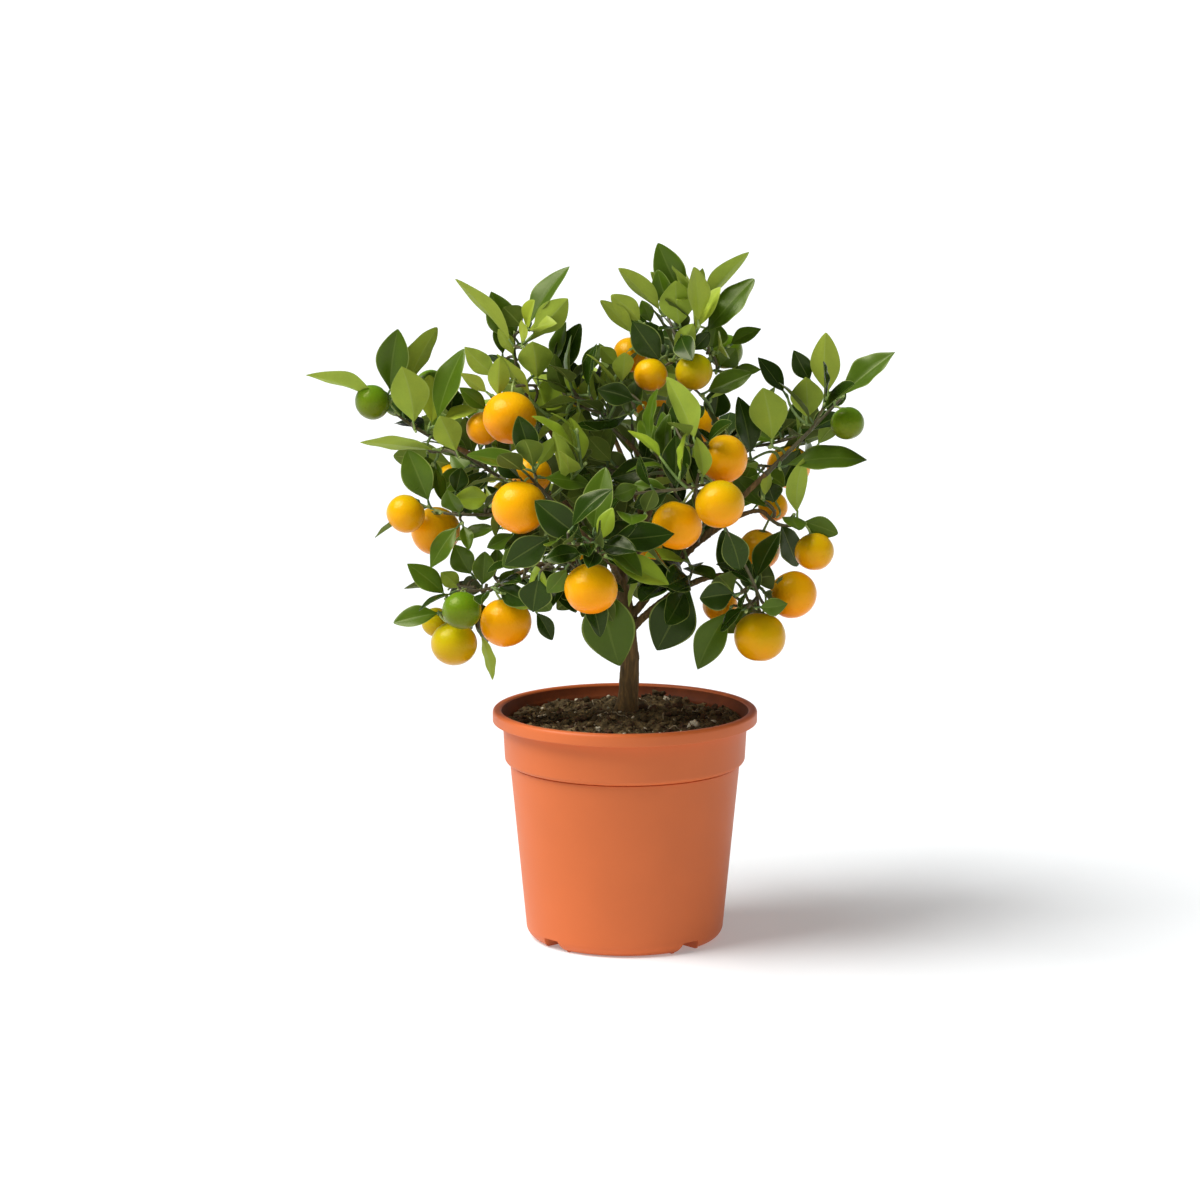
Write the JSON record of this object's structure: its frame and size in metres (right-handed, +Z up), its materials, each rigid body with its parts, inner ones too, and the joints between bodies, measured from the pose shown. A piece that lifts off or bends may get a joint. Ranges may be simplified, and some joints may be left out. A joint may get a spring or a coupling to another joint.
{
  "type": "calamondin orange tree in a pot",
  "caption": "Small bushy citrus tree with a short leaning trunk, forked boughs, glossy leaves and round orange, yellow and green fruit, in a round collared plastic pot.",
  "frame": {"origin": "centre of the pot's flat underside", "axes": "+Z up along the trunk; +X to the right and -Y towards a viewer who sees the trunk lean to the left at its top"},
  "size_m": [0.3289, 0.2567, 0.3949],
  "materials": {
    "pot_plastic": "smooth satin moulded plastic",
    "potting_soil": "dark moist crumbs with pale perlite and root fibres",
    "bark": "grey-brown bark with fine upright streaks",
    "foliage": "glossy dark green leaves, matt paler undersides, orange, yellow and green fruit"
  },
  "bodies": {
    "root": {"pot": "pot_plastic", "soil": "potting_soil", "trunk": "bark", "bough_right_low": "bark", "bough_right_middle": "bark", "bough_top": "bark", "bough_upper_left": "bark", "bough_left_arm": "bark", "bough_left_middle": "bark", "bough_left_low": "bark", "bough_front": "bark", "bough_front_left": "bark", "bough_front_right": "bark", "bough_right_out": "bark", "bough_centre": "bark", "bough_back_left": "bark", "bough_back_right": "bark", "bough_back_high": "bark", "bough_back_low": "bark", "foliage_top": "foliage", "foliage_upper_left": "foliage", "foliage_left_arm": "foliage", "foliage_left_middle": "foliage", "foliage_left_low": "foliage", "foliage_front_left": "foliage", "foliage_front_centre": "foliage", "foliage_front_right": "foliage", "foliage_centre": "foliage", "foliage_heart": "foliage", "foliage_right_arm": "foliage", "foliage_right_middle": "foliage", "foliage_right_low": "foliage", "foliage_low_centre": "foliage", "foliage_low_right": "foliage", "foliage_back_left": "foliage", "foliage_back_right": "foliage", "foliage_back_high": "foliage", "foliage_back_low": "foliage"}
  },
  "joints": []
}
